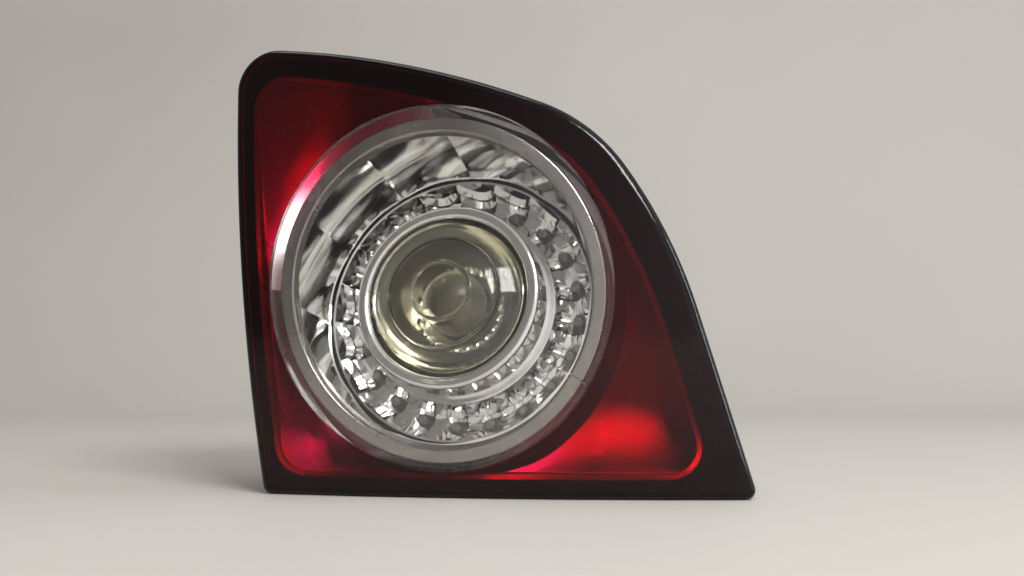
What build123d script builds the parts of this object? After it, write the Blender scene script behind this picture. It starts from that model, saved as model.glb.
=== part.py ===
"""Tail light cluster: the inner rear lamp of a car, with a red outer lens and one round lit window.

The lamp stands as it does on the car. X runs to the right seen from the front, the lens faces -Y,
and Z runs up from the lens's bottom edge. The round unit behind the window has its own optical axis,
which leans up and to the left of the lens's own facing, as the lens is raked and the light is not.
"""
import os
from math import atan2, cos, hypot, radians, sin, sqrt, tan

from build123d import *

# Outline of the lens, walked from the foot of the right flank round to the left foot
overall_depth = 100.0
foot_right_x = 99.38
foot_left_x = -85.98
flank_heading = 106.6
flank_length = 71.3
waist_radius = 184.0
waist_turn = 18.35
shoulder_radius = 66.9
shoulder_turn = 32.8
brow_radius = 402.0
brow_turn = 15.45
temple_radius = 15.7
temple_turn = 98.9
foot_corner_radius = 3.5

# Lens, bulging forward as part of a large ball
lens_radius = 650.0
lens_mid_x = 8.8
lens_mid_z = 80.25
lens_wall = 2.8
lens_edge_radius = 3.4
skirt_wall = 2.5
skirt_depth = 27.0
joint_gap = 0.3

# Optical axis, which crosses the lens's face at the middle of the window
window_x = -16.0
window_z = 78.6
axis_up = 14.25
axis_left = 5.76
window_radius = 65.7

# Black border and bright panel behind the red lens
lens_gap = 1.0
fit_gap = 0.3
border_width = 7.2
border_extra_right = 5.2
border_extra_top = 2.6
panel_corner_radius = 12.0
panel_wall = 1.8
panel_floor_depth = 23.0
panel_floor_thick = 2.0
panel_cove_radius = 7.5
collar_foot = 8.5
collar_step = 11.0

# Round unit, measured back along the optical axis from the lens's face
trim_radius = 62.2
trim_inner_radius = 56.5
trim_height = 4.0
trim_edge_radius = 1.0
trim_seam_width = 0.7
trim_seam_angle = -33.0
bowl_wall = 2.8
bowl_narrowing = 6.7
flute_count = 11
flute_radius = 45.0
flute_depth = 0.7
flute_start = 4.7
board_front = 48.4
board_thick = 1.6
board_margin = 0.4
cell_count = 20
cell_start = 13.2
petal_rim = 32.3
petal_outer_radius = 52.8
petal_gap = 0.7
petal_bore_radius = 34.6
cup_inner_radius = 38.4
cup_outer_radius = 52.0
cup_pitch_radius = 44.6
cup_floor = 47.9
cup_parabola = 7.2
cup_reach = 12.5
rib_count = 5
rib_lean = 0.6
led_radius = 1.9
led_height = 3.1
led_rounding = 0.6
led_hole_gap = 0.35

# Middle tube, dome and bulb reflector
tube_front = 15.2
tube_front_radius = 36.0
tube_base_radius = 38.0
tube_wall = 1.4
tube_lip = 3.4
tube_lip_thick = 2.2
tube_lip_rounding = 1.8
tube_flange_thick = 1.4
dome_flange_thick = 1.5
dome_base_radius = 31.0
dome_height = 11.0
dome_wall = 2.2
dome_step = 0.7
dome_disc_radius = 10.9
dome_ring_radius = 21.2
reflector_thick = 2.4
reflector_throat_radius = 12.2
reflector_depth = 18.5
reflector_bulge = 3.0
dimple_count = 24
dimple_radius = 2.4
dimple_circle = 16.0
dimple_depth = 34.0

# Bulb and its holder
bulb_radius = 12.4
bulb_middle = 27.0
bulb_glass_wall = 0.8
bulb_neck_radius = 7.2
bulb_cap_front = 40.0
bulb_cap_radius = 7.5
bulb_cap_length = 15.5
bulb_contact_radius = 3.0
bulb_contact_height = 1.5
filament_wire_radius = 0.3
filament_coil_radius = 0.65
filament_span = 6.0
filament_reach = 13.0
socket_wall = 2.3
socket_length = 13.0
neck_bore_radius = 21.0
neck_wall = 2.5
neck_end = 83.0
holder_fit = 0.4
holder_flange_radius = 27.0
holder_flange_thick = 3.5
holder_body_length = 14.0
holder_boss_radius = 14.0
holder_boss_height = 5.0
holder_grip_width = 5.0
holder_grip_length = 44.0
holder_grip_height = 5.0
seal_thick = 1.5
seal_margin = 4.0

# Carrier tube between the light-source board and the back wall
carrier_radius = 40.5
carrier_wall = 2.5
carrier_flange_radius = 50.0
carrier_flange_thick = 2.0

# Housing
housing_inset = 2.5
housing_wall = 2.5
housing_back = 70.0
housing_back_wall = 2.5
housing_corner_radius = 8.0
housing_edge_radius = 5.0
flange_thick = 3.0

# Fittings on the back
gasket_inset = 9.0
gasket_width = 7.0
gasket_thick = 4.0
stud_radius = 3.0
stud_base_radius = 8.0
stud_base_thick = 3.0
stud_spots = ((-62.0, 132.0), (-62.0, 30.0), (54.0, 30.0))
stud_tip_chamfer = 0.8
connector_x = 28.0
connector_z = 90.0
connector_width = 28.0
connector_height = 18.0
connector_length = 15.0
connector_wall = 2.0
connector_corner_radius = 2.0
connector_pocket = 12.5
pin_count = 4
pin_pitch = 5.4
pin_width = 2.2
pin_thick = 0.8
pin_length = 7.0
vent_x = -15.0
vent_z = 118.0
vent_radius = 7.0
vent_height = 5.0
vent_edge_radius = 1.5

# Sizes that follow from those above
face_y = -overall_depth / 2
ball_middle = (lens_mid_x, face_y + lens_radius, lens_mid_z)
window_off = hypot(window_x - lens_mid_x, window_z - lens_mid_z)
window_y = face_y + lens_radius - sqrt(lens_radius**2 - window_off**2)
axis_point = Vector(window_x, window_y, window_z)
axis_out = Vector(-tan(radians(axis_left)), -1.0, tan(radians(axis_up))).normalized()
axis_side = (Vector(1, 0, 0) - axis_out * axis_out.X).normalized()
optical_axis = Axis(axis_point, axis_out)
profile_plane = Plane(origin=axis_point, x_dir=axis_side, z_dir=axis_side.cross(axis_out))
cover_skin = lens_wall + lens_gap
collar_skin = cover_skin + trim_height + fit_gap
bowl_mouth_radius = trim_inner_radius + flute_depth
bowl_radius = bowl_mouth_radius + bowl_wall
board_radius = bowl_radius - board_margin
board_back = board_front + board_thick
tube_bore_radius = tube_front_radius - tube_wall
dome_flange_front = tube_front + tube_lip_thick
dome_flange_back = dome_flange_front + dome_flange_thick
dome_radius = (dome_base_radius**2 + dome_height**2) / (2 * dome_height)
dome_middle = dome_flange_front - dome_height + dome_radius
dome_flange_radius = tube_bore_radius - fit_gap
bulb_cap_back = bulb_cap_front + bulb_cap_length
bulb_contact_back = bulb_cap_back + bulb_contact_height
holder_flange_front = neck_end + seal_thick
holder_flange_back = holder_flange_front + holder_flange_thick
cavity_inset = housing_inset + housing_wall
cavity_back = housing_back - housing_back_wall


def upright(depth):
    """Plane across the lamp at a depth behind the lens's foremost point, facing the viewer."""
    return Plane.XZ.offset(-(face_y + depth))


def on_axis(depth):
    """Plane square to the optical axis at a depth behind the lens's face, facing the viewer."""
    return Plane(origin=axis_point - axis_out * depth, x_dir=axis_side, z_dir=axis_out)


def rounded(radius):
    """Round the outward corners of the sketch being drawn."""
    offset(amount=-radius)
    offset(amount=radius)


def outline(inset):
    """The lamp's outline, drawn in by an inset."""
    heading = radians(flank_heading)
    flank_end = (foot_right_x + flank_length * cos(heading), flank_length * sin(heading))
    with BuildSketch() as sketch:
        with BuildLine():
            flank = Line((foot_right_x, 0), flank_end)
            waist = JernArc(flank @ 1, flank % 1, waist_radius, waist_turn)
            shoulder = JernArc(waist @ 1, waist % 1, shoulder_radius, shoulder_turn)
            brow = JernArc(shoulder @ 1, shoulder % 1, brow_radius, brow_turn)
            temple = JernArc(brow @ 1, brow % 1, temple_radius, temple_turn)
            side = TangentArc(temple @ 1, (foot_left_x, 0), tangent=temple % 1)
            Line(side @ 1, (foot_right_x, 0))
        make_face()
        rounded(foot_corner_radius)
        if inset > 0:
            offset(amount=-inset)
    return sketch.sketch


def panel_outline(inset):
    """Outline of the bright panel: the lamp's outline with a wider border at the right and top."""
    base = outline(border_width)
    with BuildSketch() as sketch:
        add(base)
        add(base.moved(Location((-border_extra_right, -border_extra_top, 0))), mode=Mode.INTERSECT)
        rounded(panel_corner_radius)
        if abs(inset) > 0:
            offset(amount=-inset)
    return sketch.sketch


def front_block(shape, skin, back):
    """Solid of an outline, from a surface a skin's thickness behind the lens's face to a depth."""
    with BuildPart() as block:
        with BuildSketch(upright(back)):
            add(shape)
        extrude(amount=back + lens_wall)
        with Locations(ball_middle):
            Sphere(lens_radius - skin, mode=Mode.INTERSECT)
    return block.part


def axis_cylinder(radius, front, back):
    """Cylinder along the optical axis between two depths."""
    with BuildPart() as rod:
        with BuildSketch(on_axis(back)):
            Circle(radius)
        extrude(amount=back - front)
    return rod.part


def turned(points):
    """Solid turned about the optical axis from (radius, depth) corners."""
    with BuildPart() as ring:
        with BuildSketch(profile_plane):
            with BuildLine():
                Polyline([(r, -w) for r, w in points], close=True)
            make_face()
        revolve(axis=optical_axis)
    return ring.part


def tube_points(inner, outer, front, back):
    """Corners of a plain ring's section."""
    return [(inner, front), (outer, front), (outer, back), (inner, back)]


os.makedirs("parts", exist_ok=True)

# Red lens: bulged face, rounded edge and skirt, open where the clear window is moulded in
lens_hollow = front_block(outline(skirt_wall), lens_wall, skirt_depth)
with BuildPart() as red_lens:
    add(front_block(outline(0), 0, skirt_depth))
    fillet(red_lens.faces().filter_by(GeomType.SPHERE).edges(), lens_edge_radius)
    add(lens_hollow, mode=Mode.SUBTRACT)
    add(axis_cylinder(window_radius, -overall_depth, overall_depth), mode=Mode.SUBTRACT)
red_lens.part.label = "red_lens"
export_step(red_lens.part, "parts/red_lens.step")

# Clear window let into the red lens
with BuildPart() as clear_window:
    add(axis_cylinder(window_radius - joint_gap, -overall_depth, overall_depth))
    with Locations(ball_middle):
        Sphere(lens_radius, mode=Mode.INTERSECT)
        Sphere(lens_radius - lens_wall, mode=Mode.SUBTRACT)
clear_window.part.label = "clear_window"
export_step(clear_window.part, "parts/clear_window.step")

# Black border that masks the lens's edge
with BuildPart() as border_frame:
    add(front_block(outline(skirt_wall + fit_gap), cover_skin, skirt_depth))
    with BuildSketch(upright(skirt_depth)):
        add(panel_outline(-fit_gap))
    extrude(amount=skirt_depth + lens_wall, mode=Mode.SUBTRACT)
    add(axis_cylinder(trim_radius + fit_gap, -overall_depth, overall_depth), mode=Mode.SUBTRACT)
border_frame.part.label = "border_frame"
export_step(border_frame.part, "parts/border_frame.step")

# Bright panel: a shallow tray with coved edges and a flared collar round the window
panel_back = panel_floor_depth + panel_floor_thick
with BuildPart() as panel_hollow:
    with BuildSketch(upright(panel_floor_depth)):
        add(panel_outline(panel_wall))
    extrude(amount=panel_floor_depth + lens_wall)
    fillet(panel_hollow.faces().sort_by(Axis.Y)[-1].edges(), panel_cove_radius)

collar_bore = bowl_radius + fit_gap


def collar_ring(radius, skin):
    """Ring round the window, from a surface behind the lens's face to the panel's back."""
    with BuildPart() as ring:
        add(turned(tube_points(collar_bore - panel_wall, radius, -trim_radius, 2 * trim_radius)))
        with Locations(ball_middle):
            Sphere(lens_radius - skin, mode=Mode.INTERSECT)
        with BuildSketch(upright(panel_back)):
            add(panel_outline(0))
        extrude(amount=panel_back + lens_wall, mode=Mode.INTERSECT)
    return ring.part


with BuildPart() as inner_bezel:
    add(front_block(panel_outline(0), cover_skin, panel_back))
    add(panel_hollow.part, mode=Mode.SUBTRACT)
    add(collar_ring(trim_radius, collar_skin))
    add(collar_ring(trim_radius + collar_foot, collar_skin + collar_step))
    add(axis_cylinder(collar_bore, -overall_depth, overall_depth), mode=Mode.SUBTRACT)
inner_bezel.part.label = "inner_bezel"
export_step(inner_bezel.part, "parts/inner_bezel.step")

# Trim ring on the collar, with one fine seam across it
with BuildPart() as trim_ring:
    add(turned(tube_points(trim_inner_radius, trim_radius, -trim_radius, trim_radius)))
    with Locations(ball_middle):
        Sphere(lens_radius - cover_skin, mode=Mode.INTERSECT)
        Sphere(lens_radius - cover_skin - trim_height, mode=Mode.SUBTRACT)
    front_face = trim_ring.faces().filter_by(GeomType.SPHERE).sort_by(Axis.Y)[0]
    fillet(front_face.edges(), trim_edge_radius)
    with BuildSketch(on_axis(trim_radius)):
        with PolarLocations(trim_radius, 1, start_angle=trim_seam_angle):
            Rectangle(trim_radius - trim_inner_radius + 2 * trim_height, trim_seam_width)
    extrude(amount=2 * trim_radius, mode=Mode.SUBTRACT)
trim_ring.part.label = "trim_ring"
export_step(trim_ring.part, "parts/trim_ring.step")

# Deep bowl round the light-source ring, narrowing inwards and faceted by wide shallow flutes
bowl_middle = petal_rim / 2
flute_circle = bowl_mouth_radius - bowl_middle * tan(radians(bowl_narrowing)) - flute_radius
with BuildPart() as main_reflector:
    add(turned(tube_points(cup_outer_radius, bowl_radius, -trim_radius, board_front)))
    with Locations(on_axis(bowl_middle)):
        with PolarLocations(flute_circle, flute_count, start_angle=flute_start):
            Cylinder(flute_radius, 4 * board_front, rotation=(0, bowl_narrowing, 0), mode=Mode.SUBTRACT)
    add(axis_cylinder(petal_outer_radius + petal_gap, bowl_middle, 2 * board_front), mode=Mode.SUBTRACT)
    with Locations(ball_middle):
        Sphere(lens_radius - collar_skin, mode=Mode.INTERSECT)
main_reflector.part.label = "main_reflector"
export_step(main_reflector.part, "parts/main_reflector.step")


def cup_trough(radius):
    """Parabolic trough across one rib of a cup, leaning with the cup's own slope at that radius."""
    step = radius - cup_pitch_radius
    lean = rib_lean * atan2(2 * step, cup_parabola)
    rise = cup_reach**2 / cup_parabola
    spot = on_axis(cup_floor - step**2 / cup_parabola).origin + axis_side * radius
    along = axis_side * cos(lean) + axis_out * sin(lean)
    with BuildPart() as trough:
        with BuildSketch(Plane(origin=spot, x_dir=axis_out.cross(axis_side), z_dir=along)):
            with BuildLine():
                curve = Bezier((-cup_reach, rise), (0, -rise), (cup_reach, rise))
                Line(curve @ 1, curve @ 0)
            make_face()
        extrude(amount=cup_outer_radius - cup_inner_radius, both=True)
    return trough.part


def cell_sector(inner, outer):
    """One cell's share of a plain ring between two radii, from the rim back to the board."""
    with BuildPart() as sector:
        with BuildSketch(profile_plane):
            with BuildLine():
                Polyline([(r, -w) for r, w in tube_points(inner, outer, petal_rim, board_front)], close=True)
            make_face()
        revolve(axis=optical_axis, revolution_arc=cell_angle)
    return sector.part.rotate(optical_axis, -cell_angle / 2)


def rib_bite(number):
    """What one rib of a cup takes out of its cell."""
    inner = cup_inner_radius + number * rib_width
    with BuildPart() as bite:
        add(cup_trough(inner + rib_width / 2))
        add(cell_sector(inner, inner + rib_width), mode=Mode.INTERSECT)
    return bite.part


# Ring of light-source cups: each is a parabolic dish stepped into ribs, holed for its light source
cell_angle = 360 / cell_count
rib_width = (cup_outer_radius - cup_inner_radius) / rib_count
with BuildPart() as cell:
    add(cell_sector(petal_bore_radius, petal_outer_radius))
    for rib_number in range(rib_count):
        add(rib_bite(rib_number), mode=Mode.SUBTRACT)
    with Locations(on_axis(board_front)):
        with Locations((cup_pitch_radius, 0)):
            Cylinder(led_radius + led_hole_gap, 2 * led_height, mode=Mode.SUBTRACT)
with BuildPart() as petal_ring:
    add([cell.part.rotate(optical_axis, cell_start + turn * cell_angle) for turn in range(cell_count)])
petal_ring.part.label = "petal_ring"
export_step(petal_ring.part, "parts/petal_ring.step")

# Round board that carries the light sources
with BuildPart() as led_board:
    add(turned(tube_points(petal_bore_radius, board_radius, board_front, board_back)))
led_board.part.label = "led_board"
export_step(led_board.part, "parts/led_board.step")

# Light sources standing on the board, one in each cup
with BuildPart() as leds:
    with BuildSketch(on_axis(board_front)):
        with PolarLocations(cup_pitch_radius, cell_count, start_angle=cell_start):
            Circle(led_radius)
    extrude(amount=led_height)
    fillet(leds.faces().sort_by(optical_axis)[-cell_count:].edges(), led_radius * led_rounding)
leds.part.label = "leds"
export_step(leds.part, "parts/leds.step")

# Bright tube round the dome, with a lip in front and a foot on the ring of cups
with BuildPart() as center_tube:
    add(
        turned(
            [
                (tube_front_radius - tube_wall - tube_lip, tube_front),
                (tube_front_radius, tube_front),
                (tube_base_radius - tube_flange_thick, petal_rim - tube_flange_thick),
                (tube_base_radius, petal_rim - tube_flange_thick),
                (tube_base_radius, petal_rim),
                (tube_bore_radius, petal_rim),
                (tube_bore_radius, dome_flange_front),
                (tube_front_radius - tube_wall - tube_lip, dome_flange_front),
            ]
        )
    )
    lip_face = center_tube.faces().sort_by(optical_axis)[-1]
    fillet(lip_face.edges(), tube_lip_rounding)
center_tube.part.label = "center_tube"
export_step(center_tube.part, "parts/center_tube.step")


def dome_depth(radius, ball):
    """Depth of the dome's surface at a radius, for a ball about the dome's own middle."""
    return dome_middle - sqrt(ball**2 - radius**2)


def dome_arc(start, end, ball):
    """Arc of the dome's section between two radii."""
    middle = (start + end) / 2
    return ThreePointArc(
        (start, -dome_depth(start, ball)),
        (middle, -dome_depth(middle, ball)),
        (end, -dome_depth(end, ball)),
    )


# Clear dome with a raised middle disc, one step further out, and a flange held under the tube's lip
dome_high = dome_radius + dome_step
dome_low = dome_radius - dome_step
dome_under = dome_radius - dome_wall
with BuildPart() as dome_lens:
    with BuildSketch(profile_plane):
        with BuildLine():
            disc = dome_arc(0, dome_disc_radius, dome_high)
            ring = dome_arc(dome_disc_radius, dome_ring_radius, dome_radius)
            Line(disc @ 1, ring @ 0)
            outer = dome_arc(dome_ring_radius, dome_base_radius, dome_low)
            Line(ring @ 1, outer @ 0)
            under = dome_arc(dome_base_radius - dome_wall, 0, dome_under)
            Polyline(
                outer @ 1,
                (dome_base_radius, -dome_flange_front),
                (dome_flange_radius, -dome_flange_front),
                (dome_flange_radius, -dome_flange_back),
                (dome_base_radius - dome_wall, -dome_flange_back),
                under @ 0,
            )
            Line(under @ 1, disc @ 0)
        make_face()
    revolve(axis=optical_axis)
dome_lens.part.label = "dome_lens"
export_step(dome_lens.part, "parts/dome_lens.step")

# Bulb reflector under the dome: a hollow bright dish with a ring of dimples round its throat
reflector_front = dome_flange_back
reflector_back = reflector_front + reflector_depth
reflector_rim = dome_base_radius - dome_wall
with BuildPart() as bulb_reflector:
    with BuildSketch(profile_plane):
        with BuildLine():
            dish = SagittaArc(
                (reflector_throat_radius, -reflector_back),
                (reflector_rim, -reflector_front),
                -reflector_bulge,
            )
            dish_back = SagittaArc(
                (reflector_throat_radius, -reflector_back - reflector_thick),
                (reflector_rim + reflector_thick, -reflector_front - reflector_thick),
                -reflector_bulge,
            )
            Line(dish @ 0, dish_back @ 0)
            Polyline(
                dish @ 1,
                (dome_flange_radius, -reflector_front),
                (dome_flange_radius, -reflector_front - reflector_thick),
                dish_back @ 1,
            )
        make_face()
    revolve(axis=optical_axis)
    with Locations(on_axis(dimple_depth)):
        with PolarLocations(dimple_circle, dimple_count):
            Sphere(dimple_radius, mode=Mode.SUBTRACT)
bulb_reflector.part.label = "bulb_reflector"
export_step(bulb_reflector.part, "parts/bulb_reflector.step")

# Bulb: hollow glass, cap with its end contact, and a filament on two wires
glass_neck = bulb_middle + sqrt(bulb_radius**2 - bulb_neck_radius**2)
glass_inner = bulb_radius - bulb_glass_wall
neck_inner = bulb_neck_radius - bulb_glass_wall
glass_neck_inner = bulb_middle + sqrt(glass_inner**2 - neck_inner**2)
with BuildPart() as bulb_glass:
    with BuildSketch(profile_plane):
        with BuildLine():
            outside = ThreePointArc(
                (0, bulb_radius - bulb_middle),
                (bulb_radius, -bulb_middle),
                (bulb_neck_radius, -glass_neck),
            )
            inside = ThreePointArc(
                (neck_inner, -glass_neck_inner),
                (glass_inner, -bulb_middle),
                (0, glass_inner - bulb_middle),
            )
            Polyline(
                outside @ 1,
                (bulb_neck_radius, -bulb_cap_front),
                (neck_inner, -bulb_cap_front),
                inside @ 0,
            )
            Line(inside @ 1, outside @ 0)
        make_face()
    revolve(axis=optical_axis)
bulb_glass.part.label = "bulb_glass"
export_step(bulb_glass.part, "parts/bulb_glass.step")

with BuildPart() as bulb_cap:
    add(axis_cylinder(bulb_cap_radius, bulb_cap_front, bulb_cap_back))
    add(axis_cylinder(bulb_contact_radius, bulb_cap_back, bulb_contact_back))
bulb_cap.part.label = "bulb_cap"
export_step(bulb_cap.part, "parts/bulb_cap.step")

with BuildPart() as filament:
    with BuildSketch(on_axis(bulb_cap_front)):
        with Locations((-filament_span / 2, 0), (filament_span / 2, 0)):
            Circle(filament_wire_radius)
    extrude(amount=filament_reach)
    with Locations(on_axis(bulb_cap_front - filament_reach)):
        Cylinder(filament_coil_radius, filament_span + 4 * filament_wire_radius, rotation=(0, 90, 0))
filament.part.label = "filament"
export_step(filament.part, "parts/filament.step")

# Bulb holder: a socket on a stepped plug, with a flange and a grip bar behind
socket_bore = bulb_cap_radius + fit_gap
socket_radius = socket_bore + socket_wall
holder_radius = neck_bore_radius - holder_fit
holder_front = holder_flange_front - holder_body_length
with BuildPart() as bulb_holder:
    add(
        turned(
            [
                (0, bulb_contact_back),
                (socket_bore, bulb_contact_back),
                (socket_bore, bulb_contact_back - socket_length),
                (socket_radius, bulb_contact_back - socket_length),
                (socket_radius, holder_front),
                (holder_radius, holder_front),
                (holder_radius, holder_flange_front),
                (holder_flange_radius, holder_flange_front),
                (holder_flange_radius, holder_flange_back),
                (holder_boss_radius, holder_flange_back),
                (holder_boss_radius, holder_flange_back + holder_boss_height),
                (0, holder_flange_back + holder_boss_height),
            ]
        )
    )
    with BuildSketch(on_axis(holder_flange_back)):
        SlotOverall(holder_grip_length, holder_grip_width)
    extrude(amount=-holder_grip_height)
bulb_holder.part.label = "bulb_holder"
export_step(bulb_holder.part, "parts/bulb_holder.step")

# Seal ring between the holder's flange and the neck
with BuildPart() as holder_seal:
    add(
        turned(
            tube_points(neck_bore_radius, neck_bore_radius + seal_margin, neck_end, holder_flange_front)
        )
    )
holder_seal.part.label = "holder_seal"
export_step(holder_seal.part, "parts/holder_seal.step")

# Carrier tube that holds the round unit off the back wall
with BuildPart() as carrier:
    add(
        turned(
            [
                (carrier_radius - carrier_wall, board_back),
                (carrier_flange_radius, board_back),
                (carrier_flange_radius, board_back + carrier_flange_thick),
                (carrier_radius, board_back + carrier_flange_thick),
                (carrier_radius, 2 * housing_back),
                (carrier_radius - carrier_wall, 2 * housing_back),
            ]
        )
    )
    split(bisect_by=upright(cavity_back), keep=Keep.TOP)
carrier.part.label = "carrier"
export_step(carrier.part, "parts/carrier.step")

# Housing: deep black shell with a rim under the lens's skirt and a leaning neck for the bulb holder
with BuildPart() as housing:
    with BuildSketch(upright(housing_back)):
        add(outline(housing_inset))
        rounded(housing_corner_radius)
    extrude(amount=housing_back - skirt_depth)
    fillet(housing.faces().sort_by(Axis.Y)[-1].edges(), housing_edge_radius)
    with BuildSketch(upright(skirt_depth)):
        add(outline(0))
    extrude(amount=-flange_thick)
    add(axis_cylinder(neck_bore_radius + neck_wall, neck_end / 2, neck_end))
    with BuildSketch(upright(cavity_back)):
        add(outline(cavity_inset))
        rounded(housing_corner_radius - housing_wall)
    extrude(amount=housing_back, mode=Mode.SUBTRACT)
    add(axis_cylinder(neck_bore_radius, neck_end / 2, 2 * neck_end), mode=Mode.SUBTRACT)
housing.part.label = "housing"
export_step(housing.part, "parts/housing.step")

# Foam gasket round the back wall
with BuildPart() as gasket:
    with BuildSketch(upright(housing_back)):
        add(outline(gasket_inset))
        add(outline(gasket_inset + gasket_width), mode=Mode.SUBTRACT)
    extrude(amount=-gasket_thick)
gasket.part.label = "gasket"
export_step(gasket.part, "parts/gasket.step")

# Three studs that hold the lamp to the car
with BuildPart() as mounting_studs:
    with BuildSketch(upright(housing_back)):
        with Locations(*stud_spots):
            Circle(stud_base_radius)
    extrude(amount=-stud_base_thick)
    with BuildSketch(upright(housing_back)):
        with Locations(*stud_spots):
            Circle(stud_radius)
    extrude(amount=housing_back - overall_depth)
    chamfer(mounting_studs.faces().sort_by(Axis.Y)[-len(stud_spots):].edges(), stud_tip_chamfer)
mounting_studs.part.label = "mounting_studs"
export_step(mounting_studs.part, "parts/mounting_studs.step")

# Connector socket for the car's plug, and its blades
with BuildPart() as connector_socket:
    with BuildSketch(upright(housing_back)):
        with Locations((connector_x, connector_z)):
            RectangleRounded(connector_width, connector_height, connector_corner_radius)
    extrude(amount=-connector_length)
    with BuildSketch(upright(housing_back + connector_length)):
        with Locations((connector_x, connector_z)):
            Rectangle(connector_width - 2 * connector_wall, connector_height - 2 * connector_wall)
    extrude(amount=connector_pocket, mode=Mode.SUBTRACT)
connector_socket.part.label = "connector_socket"
export_step(connector_socket.part, "parts/connector_socket.step")

with BuildPart() as connector_pins:
    with BuildSketch(upright(housing_back + connector_length - connector_pocket)):
        with Locations((connector_x, connector_z)):
            with GridLocations(pin_pitch, 0, pin_count, 1):
                Rectangle(pin_width, pin_thick)
    extrude(amount=-pin_length)
connector_pins.part.label = "connector_pins"
export_step(connector_pins.part, "parts/connector_pins.step")

# Vent cap
with BuildPart() as vent_cap:
    with BuildSketch(upright(housing_back)):
        with Locations((vent_x, vent_z)):
            Circle(vent_radius)
    extrude(amount=-vent_height)
    fillet(vent_cap.faces().sort_by(Axis.Y)[-1].edges(), vent_edge_radius)
vent_cap.part.label = "vent_cap"
export_step(vent_cap.part, "parts/vent_cap.step")
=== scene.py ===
"""Looks of the tail light cluster: finishes for its pieces, a pale floor, soft light and the camera.

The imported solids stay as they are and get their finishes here. Lengths are in metres, in the lamp's
own frame: +X to the right seen from the front, lens facing -Y, +Z up from the lens's bottom edge.
"""
from __future__ import annotations

import logging
import math
from dataclasses import dataclass, field, fields
from enum import Enum

import bpy
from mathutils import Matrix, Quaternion, Vector


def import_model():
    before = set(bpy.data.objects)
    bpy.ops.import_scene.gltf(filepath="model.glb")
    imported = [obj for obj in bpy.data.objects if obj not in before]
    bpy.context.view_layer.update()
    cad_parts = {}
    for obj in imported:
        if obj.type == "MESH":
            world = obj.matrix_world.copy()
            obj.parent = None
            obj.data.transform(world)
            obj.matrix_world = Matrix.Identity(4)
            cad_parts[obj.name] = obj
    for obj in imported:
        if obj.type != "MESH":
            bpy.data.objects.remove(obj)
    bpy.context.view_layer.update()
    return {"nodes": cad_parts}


LOG = logging.getLogger("tail_light")
Colour = tuple[float, float, float]
Place = tuple[float, float, float]
Socket = bpy.types.NodeSocket

# Optical axis of the round unit: where it meets the lens's face, and which way it points
AXIS_POINT: Place = (-0.0160, -0.0495, 0.0786)
AXIS_DIRECTION: Place = tuple(Vector((-0.1009, -1.0, 0.2540)).normalized())
WINDOW_RADIUS = 0.0665

# What the noise node mostly gives, and how many finer layers each use of it has
NOISE_LOW, NOISE_HIGH = 0.3, 0.7
CLOUD_DETAIL, FINE_DETAIL, PEEL_DETAIL, STROKE_DETAIL = 4.0, 4.0, 1.0, 3.0
STROKE_STRETCH: Place = (0.04, 1.0, 1.0)
# Turn of the wave node, in radians, for each unit of its scale and length
WAVE_TURN = 20.0


class Grain(Enum):
    """How a finish's fine relief is drawn."""

    NONE = "none"
    FINE = "fine moulded texture"
    PEEL = "soft waves of a moulded or sprayed surface"
    FOAM = "open cells of foam"
    BRUSHED = "long fine strokes along X"
    THREAD = "turns of a screw thread along Y"


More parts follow.
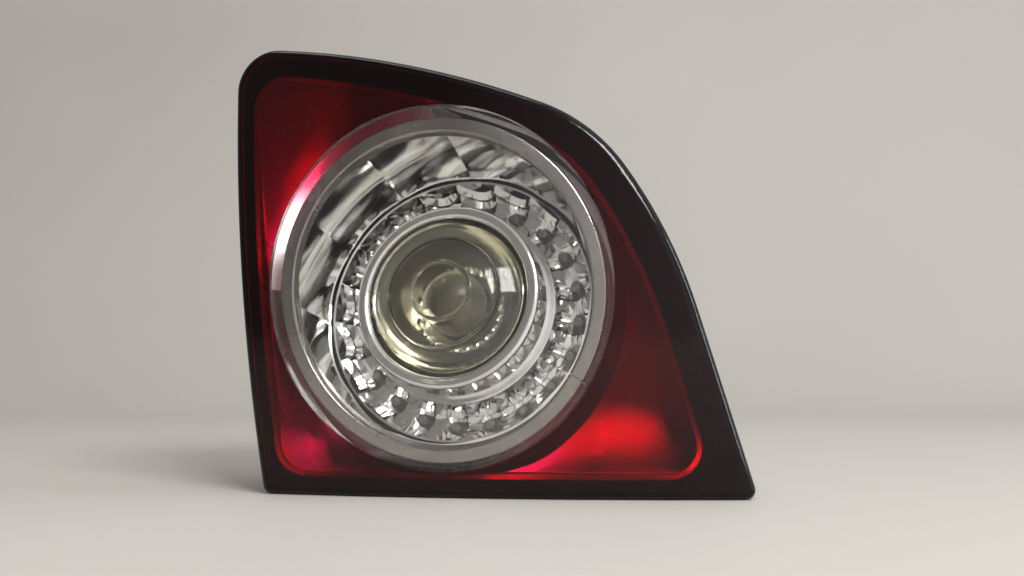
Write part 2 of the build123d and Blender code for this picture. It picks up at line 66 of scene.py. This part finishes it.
class Graph:
    """A material's node tree, with short calls for the nodes that the finishes are drawn with."""

    def __init__(self, material: bpy.types.Material) -> None:
        """Start from a material's own nodes.

        Args:
            material: Material whose nodes are drawn.
        """
        material.use_nodes = True
        self.nodes = material.node_tree.nodes
        self.links = material.node_tree.links
        self.shader = self.nodes["Principled BSDF"]
        self.place = self.nodes.new("ShaderNodeTexCoord").outputs["Object"]

    def feed(self, target: Socket, source: Socket | float | tuple[float, ...]) -> None:
        """Give a socket its value.

        Args:
            target: Input socket.
            source: Output socket to link to it, or a plain value.
        """
        if isinstance(source, bpy.types.NodeSocket):
            self.links.new(source, target)
        else:
            target.default_value = source

    def reckon(self, operation: str, first: Socket | float, second: Socket | float = 0.0) -> Socket:
        """Work out one sum.

        Args:
            operation: Name of the Math node's operation.
            first: First value.
            second: Second value.

        Returns:
            The result.
        """
        node = self.nodes.new("ShaderNodeMath")
        node.operation = operation
        self.feed(node.inputs[0], first)
        self.feed(node.inputs[1], second)
        return node.outputs[0]

    def from_axis(self) -> Socket:
        """Work out the distance from the optical axis.

        Returns:
            The distance.
        """
        offset, swept, length = (self.nodes.new("ShaderNodeVectorMath") for _ in range(3))
        offset.operation, swept.operation, length.operation = "SUBTRACT", "CROSS_PRODUCT", "LENGTH"
        self.feed(offset.inputs[0], self.place)
        self.feed(offset.inputs[1], AXIS_POINT)
        self.feed(swept.inputs[0], offset.outputs["Vector"])
        self.feed(swept.inputs[1], AXIS_DIRECTION)
        self.feed(length.inputs[0], swept.outputs["Vector"])
        return length.outputs["Value"]

    def noise(self, size: float, detail: float, stretch: Place = (1.0, 1.0, 1.0)) -> Socket:
        """Draw cloudy noise.

        Args:
            size: Size of its features.
            detail: How many finer layers it has.
            stretch: How many times closer the features lie along each axis.

        Returns:
            The noise, about 0.3 to 0.7.
        """
        spread = self.nodes.new("ShaderNodeMapping")
        spread.inputs["Scale"].default_value = stretch
        self.feed(spread.inputs["Vector"], self.place)
        node = self.nodes.new("ShaderNodeTexNoise")
        node.inputs["Scale"].default_value = 1.0 / size
        node.inputs["Detail"].default_value = detail
        self.feed(node.inputs["Vector"], spread.outputs["Vector"])
        return node.outputs["Fac"]

    def cells(self, size: float) -> Socket:
        """Draw round cells.

        Args:
            size: Size of a cell.

        Returns:
            The distance to the nearest cell's middle.
        """
        node = self.nodes.new("ShaderNodeTexVoronoi")
        node.inputs["Scale"].default_value = 1.0 / size
        self.feed(node.inputs["Vector"], self.place)
        return node.outputs["Distance"]

    def turns(self, pitch: float) -> Socket:
        """Draw even waves along Y.

        Args:
            pitch: Length of one wave.

        Returns:
            The waves, 0 to 1.
        """
        node = self.nodes.new("ShaderNodeTexWave")
        node.bands_direction = "Y"
        node.inputs["Scale"].default_value = 2.0 * math.pi / (WAVE_TURN * pitch)
        self.feed(node.inputs["Vector"], self.place)
        return node.outputs["Fac"]

    def spread(self, value: Socket, low: float, high: float) -> Socket:
        """Spread noise over a range.

        Args:
            value: Noise, about 0.3 to 0.7.
            low: Value where the noise is low.
            high: Value where the noise is high.

        Returns:
            The value in the range.
        """
        node = self.nodes.new("ShaderNodeMapRange")
        self.feed(node.inputs["Value"], value)
        limits = {"From Min": NOISE_LOW, "From Max": NOISE_HIGH, "To Min": low, "To Max": high}
        for name, number in limits.items():
            node.inputs[name].default_value = number
        return node.outputs["Result"]

    def blend(self, factor: Socket, low: Socket | Colour, high: Socket | Colour) -> Socket:
        """Blend two colours.

        Args:
            factor: Share of the second colour.
            low: First colour.
            high: Second colour.

        Returns:
            The blended colour.
        """
        node = self.nodes.new("ShaderNodeMix")
        node.data_type = "RGBA"
        self.feed(node.inputs["Factor"], factor)
        first, second = [socket for socket in node.inputs if socket.type == "RGBA"]
        for socket, colour in ((first, low), (second, high)):
            self.feed(socket, (*colour, 1.0) if isinstance(colour, tuple) else colour)
        return next(socket for socket in node.outputs if socket.type == "RGBA")

    def relief(self, height: Socket, distance: float, facing: Socket | None = None) -> None:
        """Give the shader a relief.

        Args:
            height: Height of the relief, as a share of the distance.
            distance: Height that a value of 1 stands for.
            facing: Which way the surface faces, where that isn't the mesh's own facing.
        """
        bump = self.nodes.new("ShaderNodeBump")
        bump.inputs["Distance"].default_value = distance
        if facing is not None:
            self.feed(bump.inputs["Normal"], facing)
        self.feed(bump.inputs["Height"], height)
        self.feed(self.shader.inputs["Normal"], bump.outputs["Normal"])


@dataclass(frozen=True)
class Finish:
    """One finish of the lamp, built as a procedural material.

    Attributes:
        name: Name of the material.
        colour: Base colour, linear.
        roughness: Spread of its reflections.
        metallic: 1 for metal and metallised plastic.
        transmission: 1 for clear plastic and glass.
        ior: Refractive index.
        specular: Level of the plain reflection.
        clouds: Share by which the roughness wanders, as dust and handling leave it.
        cloud_size: Size of those clouds.
        shade: Share by which the colour wanders.
        grain: Kind of fine relief.
        grain_size: Size of the relief's features.
        grain_height: Height of the relief.
    """

    name: str
    colour: Colour
    roughness: float
    metallic: float = 0.0
    transmission: float = 0.0
    ior: float = 1.5
    specular: float = 0.5
    clouds: float = 0.3
    cloud_size: float = 0.02
    shade: float = 0.08
    grain: Grain = Grain.NONE
    grain_size: float = 0.001
    grain_height: float = 0.0

    def build(self) -> bpy.types.Material:
        """Build the material.

        Returns:
            The material, with its shader's own sockets set.
        """
        material = bpy.data.materials.new(self.name)
        graph = Graph(material)
        shader = graph.shader
        shader.inputs["Metallic"].default_value = self.metallic
        shader.inputs["Transmission Weight"].default_value = self.transmission
        shader.inputs["IOR"].default_value = self.ior
        shader.inputs["Specular IOR Level"].default_value = self.specular
        haze = graph.noise(self.cloud_size, CLOUD_DETAIL)
        rough = graph.spread(haze, self.roughness * (1 - self.clouds), self.roughness * (1 + self.clouds))
        graph.feed(shader.inputs["Roughness"], rough)
        dark = tuple(part * (1 - self.shade) for part in self.colour)
        light = tuple(min(1.0, part * (1 + self.shade)) for part in self.colour)
        graph.feed(shader.inputs["Base Color"], graph.blend(graph.spread(haze, 0.0, 1.0), dark, light))
        self.emboss(graph)
        return material

    def emboss(self, graph: Graph) -> None:
        """Draw the fine relief.

        Args:
            graph: The material's nodes.
        """
        if self.grain is Grain.FINE:
            graph.relief(graph.noise(self.grain_size, FINE_DETAIL), self.grain_height)
        elif self.grain is Grain.PEEL:
            graph.relief(graph.noise(self.grain_size, PEEL_DETAIL), self.grain_height)
        elif self.grain is Grain.BRUSHED:
            strokes = graph.noise(self.grain_size, STROKE_DETAIL, STROKE_STRETCH)
            graph.relief(strokes, self.grain_height)
        elif self.grain is Grain.FOAM:
            graph.relief(graph.cells(self.grain_size), self.grain_height)
        elif self.grain is Grain.THREAD:
            graph.relief(graph.turns(self.grain_size), self.grain_height)


@dataclass(frozen=True)
class Dish:
    """Shallow bowl in one corner of the panel, which turns up to the left of and below its middle.

    Attributes:
        middle: Deepest place along X and Z.
        radii: Radii along X and Z.
        lean: How far the middle moves along X for each unit of height.
        droop: How far the bowl sinks on both sides of its crest.
        crest: Where along X it stands highest.
        droop_length: Length over which it sinks.
    """

    middle: tuple[float, float]
    radii: tuple[float, float]
    lean: float = 0.0
    droop: float = 0.0
    crest: float = 0.047
    droop_length: float = 0.033

    def height(self, graph: Graph, across: Socket, up: Socket) -> Socket:
        """Work out how high the panel stands.

        Args:
            graph: The material's nodes.
            across: Place along X.
            up: Place along Z.

        Returns:
            The height.
        """
        line = graph.reckon("ADD", graph.reckon("MULTIPLY", up, self.lean), self.middle[0])
        past = graph.reckon("DIVIDE", graph.reckon("SUBTRACT", across, self.crest), self.droop_length)
        share = graph.reckon("MULTIPLY", past, past)
        sunk = graph.reckon("ADD", up, graph.reckon("MULTIPLY", share, self.droop))
        beside = graph.reckon("SUBTRACT", across, line)
        below = graph.reckon("SUBTRACT", sunk, self.middle[1])
        return graph.reckon("ADD", self._turn(graph, beside, 0), self._turn(graph, below, 1))

    def _turn(self, graph: Graph, offset: Socket, axis: int) -> Socket:
        """Work out the rise at an offset from the middle, on the side that turns up."""
        inside = graph.reckon("MINIMUM", offset, 0.0)
        return graph.reckon("DIVIDE", graph.reckon("MULTIPLY", inside, inside), 2.0 * self.radii[axis])


@dataclass(frozen=True)
class DishedPanel(Finish):
    """Metallised panel with a soft dish in each of its three corners.

    Attributes:
        split_x: Where the left and the right corners part.
        split_z: Where the upper and the lower left corner part.
        upper_left: Dish of the upper left corner.
        lower_left: Dish of the lower left corner.
        lower_right: Dish of the lower right corner.
        softness: Share by which the lacquer under the metal has filled the panel's own edges.
        collar_colour: Colour of the metal inside the window, darkened as painted shade that tones down the
            highlight it mirrors.
    """

    split_x: float = -0.02
    split_z: float = 0.078
    upper_left: Dish = Dish((-0.0836, 0.1503), (0.030, 0.086), lean=0.225)
    lower_left: Dish = Dish((-0.0425, 0.0349), (0.045, 0.036))
    lower_right: Dish = Dish((0.0794, 0.0439), (0.091, 0.045), droop=0.0105)
    softness: float = 0.95
    collar_colour: Colour = (0.46, 0.44, 0.44)

    def emboss(self, graph: Graph) -> None:
        """Draw the dishes and the panel's soft waves.

        Args:
            graph: The material's nodes.
        """
        parts = graph.nodes.new("ShaderNodeSeparateXYZ")
        graph.feed(parts.inputs[0], graph.place)
        across, up = parts.outputs["X"], parts.outputs["Z"]
        upper, lower, right = (
            dish.height(graph, across, up) for dish in (self.upper_left, self.lower_left, self.lower_right)
        )
        left = self._choose(graph, graph.reckon("GREATER_THAN", up, self.split_z), upper, lower)
        dish = self._choose(graph, graph.reckon("GREATER_THAN", across, self.split_x), right, left)
        waves = graph.reckon("MULTIPLY", graph.noise(self.grain_size, PEEL_DETAIL), self.grain_height)
        outside = graph.reckon("GREATER_THAN", graph.from_axis(), WINDOW_RADIUS)
        # Inside the window the metal takes a darker colour: painted shade that tones down its mirrored
        # highlight.
        plated = graph.shader.inputs["Base Color"].links[0].from_socket
        graph.feed(graph.shader.inputs["Base Color"], graph.blend(outside, self.collar_colour, plated))
        pressed = graph.reckon("MULTIPLY", dish, outside)
        graph.relief(graph.reckon("ADD", pressed, waves), 1.0, self._levelled(graph, outside))

    def _levelled(self, graph: Graph, outside: Socket) -> Socket:
        """Work out the panel's facing, with its edges outside the window softened towards the front.

        Args:
            graph: The material's nodes.
            outside: 1 outside the window, 0 inside it.

        Returns:
            The facing.
        """
        level = graph.nodes.new("ShaderNodeMix")
        level.data_type = "VECTOR"
        graph.feed(level.inputs["Factor"], graph.reckon("MULTIPLY", outside, self.softness))
        vectors = [socket for socket in level.inputs if socket.type == "VECTOR"]
        own, front = (socket for socket in vectors if socket.name in "AB")
        graph.feed(own, graph.nodes.new("ShaderNodeNewGeometry").outputs["Normal"])
        front.default_value = (0.0, -1.0, 0.0)
        return next(socket for socket in level.outputs if socket.type == "VECTOR")

    @staticmethod
    def _choose(graph: Graph, switch: Socket, yes: Socket, no: Socket) -> Socket:
        """Take one of two heights."""
        step = graph.reckon("MULTIPLY", switch, graph.reckon("SUBTRACT", yes, no))
        return graph.reckon("ADD", no, step)


@dataclass(frozen=True)
class RingedDome(Finish):
    """Clear dome with raised rings round the optical axis.

    Attributes:
        ring_radii: Radii of the rings.
        ring_width: Half the width of a ring.
        ring_height: Height of a ring.
    """

    ring_radii: tuple[float, ...] = (0.0109, 0.0212)
    ring_width: float = 0.0009
    ring_height: float = 0.0006

    def emboss(self, graph: Graph) -> None:
        """Draw the rings.

        Args:
            graph: The material's nodes.
        """
        away = graph.from_axis()
        rings = [self._ring(graph, away, radius) for radius in self.ring_radii]
        graph.relief(graph.reckon("ADD", *rings), self.ring_height)

    def _ring(self, graph: Graph, away: Socket, radius: float) -> Socket:
        """Draw one rounded ring.

        Args:
            graph: The material's nodes.
            away: Distance from the optical axis.
            radius: Radius of the ring.

        Returns:
            The ring, 1 at its crest and 0 beside it.
        """
        offset = graph.reckon("DIVIDE", graph.reckon("SUBTRACT", away, radius), self.ring_width)
        fall = graph.reckon("SUBTRACT", 1.0, graph.reckon("MULTIPLY", offset, offset))
        hump = graph.reckon("MAXIMUM", fall, 0.0)
        return graph.reckon("MULTIPLY", hump, hump)


class Dressed:
    """A sub-assembly whose fields are finishes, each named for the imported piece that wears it."""

    def dress(self, nodes: dict[str, bpy.types.Object]) -> None:
        """Give each named piece its material.

        Args:
            nodes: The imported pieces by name.
        """
        for entry in fields(self):
            finish = getattr(self, entry.name)
            piece = nodes[entry.name]
            piece.data.materials.clear()
            piece.data.materials.append(finish.build())
            LOG.info("dressed %s in %s", entry.name, finish.name)


@dataclass(frozen=True)
class LensAssembly(Dressed):
    """The lens and what shows straight through it."""

    red_lens: Finish = Finish(
        "red_lens_plastic", (0.26, 0.001, 0.021), 0.05, transmission=1.0, ior=1.36,
        clouds=0.6, shade=0.03, grain=Grain.PEEL, grain_size=0.012, grain_height=0.000012,
    )
    clear_window: Finish = Finish(
        "clear_window_plastic", (0.965, 0.96, 0.95), 0.05, transmission=1.0, ior=1.49,
        clouds=0.6, shade=0.01, grain=Grain.PEEL, grain_size=0.012, grain_height=0.000012,
    )
    border_frame: Finish = Finish(
        "border_black", (0.006, 0.004, 0.005), 0.25,
        grain=Grain.FINE, grain_size=0.001, grain_height=0.00002,
    )
    inner_bezel: Finish = DishedPanel(
        "metallised_panel", (0.88, 0.86, 0.87), 0.31, metallic=1.0, clouds=0.25, shade=0.05,
        grain_size=0.012, grain_height=0.00025,
    )
    trim_ring: Finish = Finish(
        "satin_trim", (0.36, 0.335, 0.32), 0.24, metallic=1.0,
        grain=Grain.FINE, grain_size=0.0012, grain_height=0.00001,
    )


@dataclass(frozen=True)
class LightUnit(Dressed):
    """The round unit behind the window: bowl, ring of cups, tube, dome and bulb."""

    main_reflector: Finish = Finish(
        "bowl_chrome", (0.93, 0.93, 0.90), 0.07, metallic=1.0,
        grain=Grain.PEEL, grain_size=0.008, grain_height=0.00001,
    )
    petal_ring: Finish = Finish(
        "petal_chrome", (0.95, 0.95, 0.94), 0.07, metallic=1.0,
        grain=Grain.PEEL, grain_size=0.004, grain_height=0.00001,
    )
    led_board: Finish = Finish(
        "board_lacquer", (0.10, 0.20, 0.12), 0.4,
        grain=Grain.FINE, grain_size=0.0008, grain_height=0.00002,
    )
    leds: Finish = Finish("light_source_body", (0.34, 0.33, 0.30), 0.25, shade=0.15, cloud_size=0.002)
    center_tube: Finish = Finish(
        "tube_chrome", (0.94, 0.94, 0.92), 0.08, metallic=1.0,
        grain=Grain.PEEL, grain_size=0.006, grain_height=0.00001,
    )
    dome_lens: Finish = RingedDome(
        "dome_plastic", (0.975, 0.96, 0.85), 0.04, transmission=1.0, ior=1.49,
        clouds=0.6, shade=0.03, cloud_size=0.01,
    )
    bulb_reflector: Finish = Finish(
        "bulb_reflector_chrome", (0.97, 0.95, 0.87), 0.10, metallic=1.0,
        grain=Grain.PEEL, grain_size=0.005, grain_height=0.00002,
    )
    bulb_glass: Finish = Finish(
        "bulb_glass", (0.92, 0.90, 0.80), 0.12, transmission=0.85, ior=1.5,
        clouds=0.6, shade=0.03, cloud_size=0.008,
    )
    bulb_cap: Finish = Finish(
        "bulb_cap_metal", (0.70, 0.66, 0.56), 0.3, metallic=1.0, shade=0.15, cloud_size=0.004,
        grain=Grain.FINE, grain_size=0.0006, grain_height=0.00002,
    )
    filament: Finish = Finish("filament_wire", (0.40, 0.39, 0.38), 0.35, metallic=1.0, cloud_size=0.001)


@dataclass(frozen=True)
class BackFittings(Dressed):
    """The housing and the fittings behind it."""

    housing: Finish = Finish(
        "housing_plastic", (0.018, 0.018, 0.019), 0.5, cloud_size=0.03, shade=0.2,
        grain=Grain.FINE, grain_size=0.0009, grain_height=0.00006,
    )
    carrier: Finish = Finish(
        "carrier_plastic", (0.03, 0.03, 0.03), 0.5,
        grain=Grain.FINE, grain_size=0.001, grain_height=0.00004,
    )
    bulb_holder: Finish = Finish(
        "holder_plastic", (0.14, 0.14, 0.135), 0.5,
        grain=Grain.FINE, grain_size=0.0008, grain_height=0.00004,
    )
    holder_seal: Finish = Finish(
        "seal_rubber", (0.02, 0.02, 0.02), 0.7,
        grain=Grain.FINE, grain_size=0.0006, grain_height=0.00003,
    )
    gasket: Finish = Finish(
        "gasket_foam", (0.03, 0.03, 0.032), 0.95, clouds=0.05, shade=0.25, cloud_size=0.003,
        grain=Grain.FOAM, grain_size=0.0012, grain_height=0.0005,
    )
    mounting_studs: Finish = Finish(
        "zinc_steel", (0.62, 0.62, 0.61), 0.3, metallic=1.0, cloud_size=0.006,
        grain=Grain.THREAD, grain_size=0.00125, grain_height=0.00008,
    )
    connector_socket: Finish = Finish(
        "connector_plastic", (0.02, 0.02, 0.02), 0.45,
        grain=Grain.FINE, grain_size=0.0008, grain_height=0.00004,
    )
    connector_pins: Finish = Finish(
        "tinned_blade", (0.72, 0.70, 0.64), 0.25, metallic=1.0, cloud_size=0.003,
        grain=Grain.BRUSHED, grain_size=0.0005, grain_height=0.00001,
    )
    vent_cap: Finish = Finish(
        "vent_rubber", (0.025, 0.025, 0.025), 0.65,
        grain=Grain.FINE, grain_size=0.0007, grain_height=0.00004,
    )


@dataclass(frozen=True)
class Viewpoint:
    """Camera at the photograph's viewing angle.

    Attributes:
        aim: Point the camera looks at, on the lens's face.
        distance: How far the camera stands from it.
        elevation: Height of the view above the horizon, in degrees.
        azimuth: Turn of the view to the right of the lens's front, in degrees.
        roll: Turn of the picture, in degrees.
        focal_share: Focal length as a share of the picture's width.
        clip_start: Nearest distance that the camera draws.
    """

    aim: Place = (0.01319, -0.05, 0.07625)
    distance: float = 0.414
    elevation: float = -3.254
    azimuth: float = 9.658
    roll: float = -0.472
    focal_share: float = 1150.0 / 1024.0
    clip_start: float = 0.01

    def build(self) -> None:
        """Make the camera and let the scene use it."""
        data = bpy.data.cameras.new("camera")
        data.sensor_fit = "HORIZONTAL"
        data.lens = data.sensor_width * self.focal_share
        data.clip_start = self.clip_start
        camera = bpy.data.objects.new("camera", data)
        bpy.context.scene.collection.objects.link(camera)
        rise, turn = math.radians(self.elevation), math.radians(self.azimuth)
        away = Vector((math.sin(turn) * math.cos(rise), -math.cos(turn) * math.cos(rise), math.sin(rise)))
        camera.location = Vector(self.aim) + away * self.distance
        facing = (-away).to_track_quat("-Z", "Y")
        tilt = Quaternion((0.0, 0.0, 1.0), math.radians(self.roll))
        camera.rotation_euler = (facing @ tilt).to_euler()
        bpy.context.scene.camera = camera
        LOG.info("camera at %s", tuple(round(v, 4) for v in camera.location))


@dataclass(frozen=True)
class Softbox:
    """One area light that faces the lamp.

    Attributes:
        name: Name of the light.
        place: Where it stands.
        width: Its width.
        height: Its height.
        power: Its power in watts.
        colour: Its colour.
        target: Point it faces.
    """

    name: str
    place: Place
    width: float
    height: float
    power: float
    colour: Colour = (1.0, 1.0, 1.0)
    target: Place = (0.0, -0.05, 0.08)

    def build(self) -> None:
        """Make the light."""
        data = bpy.data.lights.new(self.name, "AREA")
        data.shape = "RECTANGLE"
        data.size, data.size_y = self.width, self.height
        data.energy = self.power
        data.color = self.colour
        light = bpy.data.objects.new(self.name, data)
        bpy.context.scene.collection.objects.link(light)
        light.location = self.place
        aim = Vector(self.target) - Vector(self.place)
        light.rotation_euler = aim.to_track_quat("-Z", "Y").to_euler()
        LOG.info("light %s", self.name)


@dataclass(frozen=True)
class Studio:
    """Pale floor that curves up behind the lamp, soft lights and a plain world.

    Attributes:
        half_width: Half the floor's width.
        front: Where the floor ends towards the camera.
        back: Where its sweep begins.
        sweep_radius: Radius of the sweep.
        wall_height: Height of the wall above the sweep.
        sweep_steps: Number of flats in the sweep.
        edge_margin: How near the back edge a point counts as on it.
        floor_finish: Finish of the floor and the wall.
        dim_side: Colour of the room on the left.
        light_side: Colour of the room on the right.
        dim_until: Where the dim side ends, from 0 at the left to 1 at the right.
        light_from: Where the light side begins.
        backdrop: Colour that the camera sees past the floor.
        lights: The soft lights.
    """

    half_width: float = 1.8
    front: float = -1.3
    back: float = 0.5
    sweep_radius: float = 0.5
    wall_height: float = 1.6
    sweep_steps: int = 24
    edge_margin: float = 1e-4
    floor_finish: Finish = Finish(
        "pale_floor", (0.44, 0.42, 0.385), 0.6, specular=0.2, clouds=0.1, cloud_size=0.3, shade=0.02
    )
    dim_side: Colour = (0.23, 0.215, 0.21)
    light_side: Colour = (1.05, 1.05, 1.05)
    dim_until: float = 0.36
    light_from: float = 0.72
    backdrop: Colour = (0.42, 0.405, 0.385)
    lights: tuple[Softbox, ...] = field(
        default_factory=lambda: (
            Softbox("window_softbox", (0.64, -0.83, 0.90), 0.54, 0.54, 19.5),
            Softbox("side_softbox", (1.1, -0.10, 0.35), 0.25, 0.6, 4.0, (0.82, 0.88, 1.0)),
            Softbox("backdrop_softbox", (-0.3, 0.1, 1.7), 1.2, 0.6, 6.0, target=(0.0, 0.8, 0.0)),
        )
    )

    def build(self) -> None:
        """Make the floor, the lights and the world."""
        self._floor()
        for light in self.lights:
            light.build()
        self._world()

    def _world(self) -> None:
        """Make the room: dim on the left, light on the right, and plain where the camera sees it."""
        world = bpy.data.worlds.new("studio_world")
        world.use_nodes = True
        nodes, links = world.node_tree.nodes, world.node_tree.links
        parts = nodes.new("ShaderNodeSeparateXYZ")
        links.new(nodes.new("ShaderNodeTexCoord").outputs["Generated"], parts.inputs[0])
        ramp = nodes.new("ShaderNodeValToRGB")
        dim, light = ramp.color_ramp.elements
        dim.position, light.position = self.dim_until, self.light_from
        dim.color, light.color = (*self.dim_side, 1.0), (*self.light_side, 1.0)
        share = nodes.new("ShaderNodeMapRange")
        share.inputs["From Min"].default_value = -1.0
        links.new(parts.outputs["X"], share.inputs["Value"])
        links.new(share.outputs["Result"], ramp.inputs["Fac"])
        plain = nodes.new("ShaderNodeMix")
        plain.data_type = "RGBA"
        room, seen = [socket for socket in plain.inputs if socket.type == "RGBA"]
        seen.default_value = (*self.backdrop, 1.0)
        links.new(nodes.new("ShaderNodeLightPath").outputs["Is Camera Ray"], plain.inputs["Factor"])
        links.new(ramp.outputs["Color"], room)
        mixed = next(socket for socket in plain.outputs if socket.type == "RGBA")
        links.new(mixed, nodes["Background"].inputs["Color"])
        bpy.context.scene.world = world
        LOG.info("world %s", world.name)

    def _floor(self) -> None:
        """Model the floor from a plane: its back edge is drawn out into a sweep and a wall."""
        bpy.ops.object.select_all(action="DESELECT")
        bpy.ops.mesh.primitive_plane_add(size=2.0, location=(0.0, 0.0, 0.0))
        floor = bpy.context.object
        floor.name = "floor"
        floor.scale = (self.half_width, (self.back - self.front) / 2, 1.0)
        floor.location = (0.0, (self.back + self.front) / 2, 0.0)
        bpy.ops.object.transform_apply(location=True, rotation=False, scale=True)
        bpy.ops.object.mode_set(mode="EDIT")
        bpy.ops.mesh.select_mode(type="EDGE")
        bpy.ops.mesh.select_all(action="DESELECT")
        bpy.ops.object.mode_set(mode="OBJECT")
        for edge in floor.data.edges:
            ends = [floor.data.vertices[index].co.y for index in edge.vertices]
            edge.select = min(ends) > self.back - self.edge_margin
        bpy.ops.object.mode_set(mode="EDIT")
        last = Vector((0.0, 0.0))
        for step in range(1, self.sweep_steps + 1):
            turn = math.pi / 2 * step / self.sweep_steps
            here = Vector((math.sin(turn), 1.0 - math.cos(turn))) * self.sweep_radius
            move = here - last
            bpy.ops.mesh.extrude_region_move(TRANSFORM_OT_translate={"value": (0.0, move.x, move.y)})
            last = here
        bpy.ops.mesh.extrude_region_move(TRANSFORM_OT_translate={"value": (0.0, 0.0, self.wall_height)})
        bpy.ops.object.mode_set(mode="OBJECT")
        bpy.ops.object.shade_smooth()
        floor.data.materials.append(self.floor_finish.build())
        LOG.info("floor %s", floor.name)


def main() -> None:
    """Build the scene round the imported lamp."""
    logging.basicConfig(level=logging.INFO, format="%(name)s: %(message)s")
    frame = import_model()
    for assembly in (LensAssembly(), LightUnit(), BackFittings()):
        assembly.dress(frame["nodes"])
    Studio().build()
    Viewpoint().build()
    bpy.context.scene.view_settings.view_transform = "Standard"


if __name__ == "__main__":
    main()
